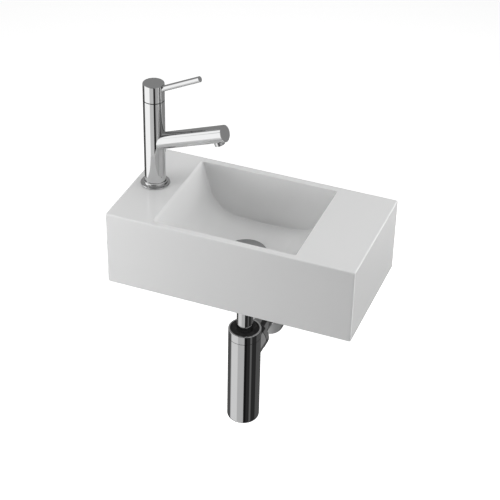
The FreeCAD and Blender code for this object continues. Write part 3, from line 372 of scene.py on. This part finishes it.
def carve(piece, tool, operation):
    """A boolean of the open piece with the tool, which is used up."""
    bpy.ops.object.mode_set(mode="OBJECT")
    bpy.ops.object.select_all(action="DESELECT")
    bpy.context.view_layer.objects.active = piece
    piece.select_set(True)
    cut = piece.modifiers.new("cut", "BOOLEAN")
    cut.operation, cut.object, cut.solver = operation, tool, "EXACT"
    bpy.ops.object.modifier_apply(modifier="cut")
    bpy.data.objects.remove(tool, do_unlink=True)
    bpy.ops.object.mode_set(mode="EDIT")
    bpy.ops.mesh.select_all(action="SELECT")
    bpy.ops.mesh.remove_doubles(threshold=MERGE_BELOW)


def shut(piece):
    """Leave edit mode so that the piece can serve as another's tool."""
    bpy.ops.object.mode_set(mode="OBJECT")
    piece.select_set(False)
    return piece


def hexagon_nut(name, foot, way, flats, thick, bore, turn=0.0):
    """Six-sided nut: its corners are rounded off at both faces by a lathed barrel."""
    way = Vector(way).normalized()
    corner = flats / 2 / math.cos(math.pi / 6)
    face = flats / 2 * 0.97
    barrel = shut(lathe("barrel", foot, way, [
        (0, face), (0.14 * thick, corner * 1.01), (0.86 * thick, corner * 1.01), (thick, face)], sides=72))
    drill = shut(lathe("drill", foot, way, [
        (-MM, bore + 0.9 * MM), (0, bore + 0.9 * MM), (0.9 * MM, bore), (thick - 0.9 * MM, bore),
        (thick, bore + 0.9 * MM), (thick + MM, bore + 0.9 * MM)]))
    bpy.ops.object.select_all(action="DESELECT")
    bpy.ops.mesh.primitive_cylinder_add(vertices=6, radius=corner, depth=thick,
                                        location=Vector(foot) + way * thick / 2,
                                        rotation=way.to_track_quat("Z", "Y").to_euler())
    nut = begin(name)
    bpy.ops.mesh.select_all(action="SELECT")
    bpy.ops.transform.rotate(value=-turn, orient_axis=axis_letter(way),
                             center_override=Vector(foot) + way * thick / 2)
    carve(nut, barrel, "INTERSECT")
    carve(nut, drill, "DIFFERENCE")
    return nut


def axis_letter(way):
    return "XYZ"[max(range(3), key=lambda i: abs(way[i]))]


# ---------------------------------------------------------------- fixings, threads and nuts
def middle(node):
    low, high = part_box(node)
    return (low + high) / 2


def wall_fixings():
    """Per side a hanger bolt, a washer and a nut: machine thread inside, wood thread in the wall."""
    low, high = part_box("hanger_bolts")
    crest = (high.z - low.z) / 2
    washer_low, washer_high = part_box("fixing_washers")
    nut_low, nut_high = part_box("fixing_nuts")
    washer_r = (washer_high.z - washer_low.z) / 2
    washer_thick = washer_high.y - washer_low.y
    bore = crest + 0.1 * MM
    for side, x in (("left", low.x + crest), ("right", high.x - crest)):
        flats = 2 * (nut_high.x - (high.x - crest))
        path = [(0, crest - 1.2 * MM)] + thread(1.2 * MM, MACHINE_THREAD, crest, 1.5 * MM, 0.9 * MM)
        path += [(MACHINE_THREAD + 0.3 * MM, crest - 0.2 * MM), (3 * MM - low.y, crest - 0.2 * MM)]
        path += thread(4 * MM - low.y, high.y - low.y - 8 * MM, crest - 0.2 * MM, 3.6 * MM, 1.3 * MM)
        path += [(high.y - low.y - 5 * MM, crest - 2.2 * MM), (high.y - low.y, 0.3 * MM)]
        bolt = lathe(f"hanger_bolt_{side}", (x, low.y, 0), WALLWARD, path, sides=36)
        settle(bolt, "fixed", "steel", "hanger_bolts")
        washer = lathe(f"fixing_washer_{side}", (x, washer_low.y, 0), WALLWARD, [
            (0, bore), (washer_thick, bore), (washer_thick, washer_r - 0.3 * MM),
            (0.7 * washer_thick, washer_r), (0.3 * washer_thick, washer_r), (0, washer_r - 0.5 * MM)], tube=True)
        settle(washer, "fixed", "steel", "fixing_washers")
        nut = hexagon_nut(f"fixing_nut_{side}", (x, nut_low.y, 0), WALLWARD, flats, nut_high.y - nut_low.y, bore)
        settle(nut, "fixed", "steel", "fixing_nuts")


WALLWARD, UPWARD = Vector((0, 1, 0)), Vector((0, 0, 1))
MACHINE_THREAD = 27 * MM


def tap_fixing():
    """Threaded tail and the brass nut that clamps the tap to the deck."""
    low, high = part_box("tap_tail")
    place = middle("tap_tail")
    shank_r = (high.x - low.x) / 2
    foot = (place.x, place.y, low.z)
    outside = [(0, HOSE_THREAD_R - 0.9 * MM)]
    outside += thread(0.8 * MM, HOSE_THREAD_LONG - MM, HOSE_THREAD_R, 1.8 * MM, 0.9 * MM)
    outside += [(HOSE_THREAD_LONG, HOSE_THREAD_R - 0.9 * MM), (HOSE_THREAD_LONG, shank_r - 0.8 * MM)]
    outside += thread(HOSE_THREAD_LONG + 0.6 * MM, high.z - low.z - 14 * MM, shank_r, 1.5 * MM, 0.8 * MM)
    outside += [(high.z - low.z - 13 * MM, shank_r), (high.z - low.z, shank_r)]
    path = [(high.z - low.z, TAIL_BORE_R), (0, TAIL_BORE_R)] + outside
    settle(lathe("tap_tail_thread", foot, UPWARD, path, tube=True), "fixed", "brass", "tap_tail")
    nut_low, nut_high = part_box("tap_back_nut")
    nut = hexagon_nut("tap_hex_nut", (place.x, place.y, nut_low.z), UPWARD, TAP_NUT_FLATS,
                      nut_high.z - nut_low.z, shank_r + 0.1 * MM, turn=TAP_TURN)
    settle(nut, "fixed", "brass", "tap_back_nut")


HOSE_THREAD_R, HOSE_THREAD_LONG, TAIL_BORE_R = 10.45 * MM, 19 * MM, 6.5 * MM
TAP_NUT_FLATS, TAP_TURN = 32 * MM, math.radians(-5)


def waste_fixing():
    """Notched brass nut under the bowl, and the thread that shows below it."""
    low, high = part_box("waste_back_nut")
    place = middle("waste_back_nut")
    radius, thick = (high.x - low.x) / 2, high.z - low.z
    nut = lathe("waste_notched_nut", (place.x, place.y, low.z), UPWARD, [
        (0, WASTE_R + 0.8 * MM), (0.7 * MM, WASTE_R + 0.1 * MM), (thick, WASTE_R + 0.1 * MM),
        (thick, radius), (1.2 * MM, radius), (0, radius - 1.2 * MM)], tube=True, sides=72)
    for notch in range(6):
        angle = notch * math.pi / 3
        out = Vector((math.cos(angle), math.sin(angle), 0))
        bpy.ops.object.mode_set(mode="OBJECT")
        bpy.ops.object.select_all(action="DESELECT")
        bpy.ops.mesh.primitive_cube_add(size=2 * MM, location=Vector((place.x, place.y, low.z)) + out * radius,
                                        rotation=(0, 0, angle), scale=(2.6, 3.2, 5.5))
        carve(nut, bpy.context.object, "DIFFERENCE")
    settle(nut, "fixed", "brass", "waste_back_nut")
    nut_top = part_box("trap_inlet_nut")[1].z
    gap = low.z - nut_top
    collar = [(0, WASTE_R), (gap, WASTE_R)]
    collar += list(reversed(thread(0.2 * MM, gap, WASTE_R + 0.35 * MM, 1.8 * MM, 0.3 * MM)))
    settle(lathe("waste_thread", (place.x, place.y, nut_top), UPWARD, collar, tube=True, sides=72),
           "fixed", "chrome")


WASTE_R = 20.9 * MM


def cap_screw():
    """Clamp screw of the handle, with its six-sided socket."""
    low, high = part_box("handle_grub_screw")
    centre = middle("handle_grub_screw")
    out = Vector((-math.cos(TAP_TURN), -math.sin(TAP_TURN), 0))
    radius = (high.z - low.z) / 2
    reach = ((high.x - low.x) - 2 * radius * abs(out.y)) / abs(out.x)
    foot = centre - out * reach / 2
    path = [(0, radius * 0.6), (0.6 * MM, radius - 0.25 * MM)]
    path += thread(0.8 * MM, reach - 0.4 * MM, radius, 0.7 * MM, 0.3 * MM)
    path += [(reach, radius - 0.35 * MM)]
    screw = lathe("handle_socket_screw", foot, out, path, sides=32)
    bpy.ops.object.mode_set(mode="OBJECT")
    bpy.ops.object.select_all(action="DESELECT")
    bpy.ops.mesh.primitive_cylinder_add(vertices=6, radius=SOCKET_R, depth=4 * MM, location=foot + out * reach,
                                        rotation=out.to_track_quat("Z", "Y").to_euler())
    carve(screw, bpy.context.object, "DIFFERENCE")
    settle(screw, "handle", "steel", "handle_grub_screw")


SOCKET_R = 1.15 * MM

wall_fixings()
tap_fixing()
waste_fixing()
cap_screw()


# ---------------------------------------------------------------- studio
def studio_world():
    """White to the camera; to metal a studio of soft boxes and dark flags; faint even light else."""
    world = bpy.data.worlds.new("studio")
    bpy.context.scene.world = world
    made = Tree(world)
    way = made.node("TexCoord", output=0)
    split = made.node("SeparateXYZ", {}, {0: way}).socket.node
    x, y, z = (Value(made, split.outputs[i]) for i in range(3))
    # turn about Z as a share of a full turn: 0 at the back, 0.5 towards the user, 0.75 to the right
    turn = made.node("Math", {"operation": "ARCTAN2"}, {0: x, 1: y * -1}) / (2 * math.pi) + 0.5
    seen = grey(STUDIO_GREY)
    for _, degrees, heights, bright in STUDIO_PANELS:
        inside = 1
        for along, (start, end), soft in (
                (turn, [angle / 360 + 0.5 for angle in degrees], TURN_SOFT), (z, heights, HEIGHT_SOFT)):
            inside = (made.between(along, start - soft, start + soft)
                      * (1 - made.between(along, end - soft, end + soft)) * inside)
        seen = made.mixed(inside, seen, grey(bright))
    ray = made.node("LightPath").socket.node
    to_camera = Value(made, ray.outputs["Is Camera Ray"])
    to_metal = Value(made, ray.outputs["Is Glossy Ray"])
    to_glass = Value(made, ray.outputs["Is Transmission Ray"])
    shade = made.mixed(to_metal, grey(AMBIENT), seen)
    shade = made.mixed(to_camera + to_glass, shade, grey(1.0))
    back = made.node("Background", {}, {"Color": shade, "Strength": 1.0})
    out = made.tree.nodes.new("ShaderNodeOutputWorld")
    made.tree.links.new(back.socket, out.inputs["Surface"])


AMBIENT = 0.10
STUDIO_GREY = 0.3
TURN_SOFT, HEIGHT_SOFT = 3 / 360, 0.03          # how far a card's edge fades to either side
# Plain cards of a photo studio: name, degrees from side to side (0 towards the user, 90 to the
# right), heights on the unit sphere from bottom to top, and brightness. Later ones lie in front.
STUDIO_PANELS = [
    ("softbox_left", (-85, -18), (-0.56, 0.3), 1.3),
    ("card_front", (-18, 20), (-0.56, -0.35), 0.7),
    ("card_right", (45, 85), (-0.56, 0.7), 0.5),
    ("floor_left", (-85, 22), (-1.1, -0.56), 0.6),
    ("floor_box", (-78, -25), (-1.1, -0.56), 0.85),
    ("floor_right", (22, 115), (-1.1, -0.56), 0.03),
    ("floor_strip", (62, 75), (-1.1, -0.56), 0.15),
    ("floor_back", (115, 190), (-1.1, -0.56), 0.1),
    ("flag_left", (-190, -87), (-1.1, -0.45), 0.1),
    ("flag_front", (22, 38), (-1.1, -0.2), 0.01),
    ("flag_high", (-10, 30), (-0.3, 0.8), 0.1),
    ("strip_high", (-80, -56), (0.3, 0.75), 1.3),
    ("flag_behind", (120, 168), (0.2, 0.75), 0.05)]


def area_lamp(name, place, aim, width, tall, watts):
    lamp = bpy.data.lights.new(name, "AREA")
    lamp.shape = "RECTANGLE"
    lamp.size, lamp.size_y, lamp.energy = width, tall, watts
    holder = bpy.data.objects.new(name, lamp)
    bpy.context.scene.collection.objects.link(holder)
    holder.location = place
    holder.rotation_euler = (Vector(aim) - Vector(place)).to_track_quat("-Z", "Y").to_euler()
    holder.visible_glossy = False
    holder.visible_camera = False
    return holder


def studio_lamps():
    middle = (0.0, -0.1, 0.0)
    for name, place, width, tall, watts in LAMPS:
        area_lamp(name, place, middle, width, tall, watts)


# name, place, width, height and watts
LAMPS = [
    ("key_left", (-0.75, -0.75, 0.25), 0.4, 0.4, 2.8),
    ("key_low", (-0.55, -0.95, 0.0), 0.4, 0.4, 1.8),
    ("soft_left", (-1.7, -0.6, 0.7), 1.2, 1.2, 6.6),
    ("soft_top", (0.0, -0.2, 2.0), 2.0, 2.0, 18.8),
    ("fill_right", (1.8, -0.6, 0.6), 1.2, 1.6, 9.3),
    ("rim_right", (1.5, 0.5, 0.3), 1.0, 1.4, 17.0),
    ("rim_back", (0.0, 1.6, 1.4), 2.0, 1.0, 7.7)]


def studio_floor():
    """Pale floor a basin's height below; white to the camera, and it keeps the soft shadow."""
    bpy.ops.object.select_all(action="DESELECT")
    bpy.ops.mesh.primitive_circle_add(vertices=96, radius=FLOOR_R, fill_type="NGON", location=(0, 0, FLOOR_Z))
    floor = bpy.context.object
    floor.name = "floor"
    made = Tree(bpy.data.materials.new("pale_floor"))
    ray = made.node("LightPath").socket.node
    shown = sum((Value(made, ray.outputs[name]) for name in ("Is Glossy Ray", "Is Transmission Ray")),
                Value(made, ray.outputs["Is Camera Ray"]))
    paint = made.node("BsdfDiffuse", {}, {"Color": grey(0.8)})
    glow = made.node("Emission", {}, {"Color": grey(1.0), "Strength": shown * FLOOR_GLOW})
    both = made.node("AddShader", {}, {0: paint, 1: glow})
    out = made.tree.nodes.new("ShaderNodeOutputMaterial")
    made.tree.links.new(both.socket, out.inputs["Surface"])
    floor.data.materials.append(made.owner)
    floor.visible_glossy = False


FLOOR_Z, FLOOR_R, FLOOR_GLOW = -0.80, 3.0, 0.75


def photo_camera():
    """The photograph's own view: its place, its three turns and its focal length."""
    yaw, pitch, roll = (math.radians(angle) for angle in CAMERA_TURNS)
    ahead = Vector((math.sin(yaw) * math.cos(pitch), math.cos(yaw) * math.cos(pitch), -math.sin(pitch)))
    level = Vector((math.cos(yaw), -math.sin(yaw), 0))
    raised = level.cross(ahead)
    right = level * math.cos(roll) + raised * math.sin(roll)
    up = raised * math.cos(roll) - level * math.sin(roll)
    lens = bpy.data.cameras.new("photo_camera")
    lens.sensor_width, lens.lens = 36.0, CAMERA_LENS
    lens.clip_start, lens.clip_end = 0.05, 60.0
    camera = bpy.data.objects.new("photo_camera", lens)
    bpy.context.scene.collection.objects.link(camera)
    turn = Matrix((right, up, -ahead)).transposed().to_4x4()
    camera.matrix_world = Matrix.Translation(Vector(CAMERA_PLACE)) @ turn
    bpy.context.scene.camera = camera


CAMERA_PLACE = (0.68337, -1.91228, 1.30467)
CAMERA_TURNS = (-20.8296, 34.7086, 1.27455)     # turn to the left, tilt down, roll
CAMERA_LENS = 108.0

studio_world()
studio_lamps()
studio_floor()
photo_camera()
bpy.context.scene.view_settings.view_transform = "Standard"
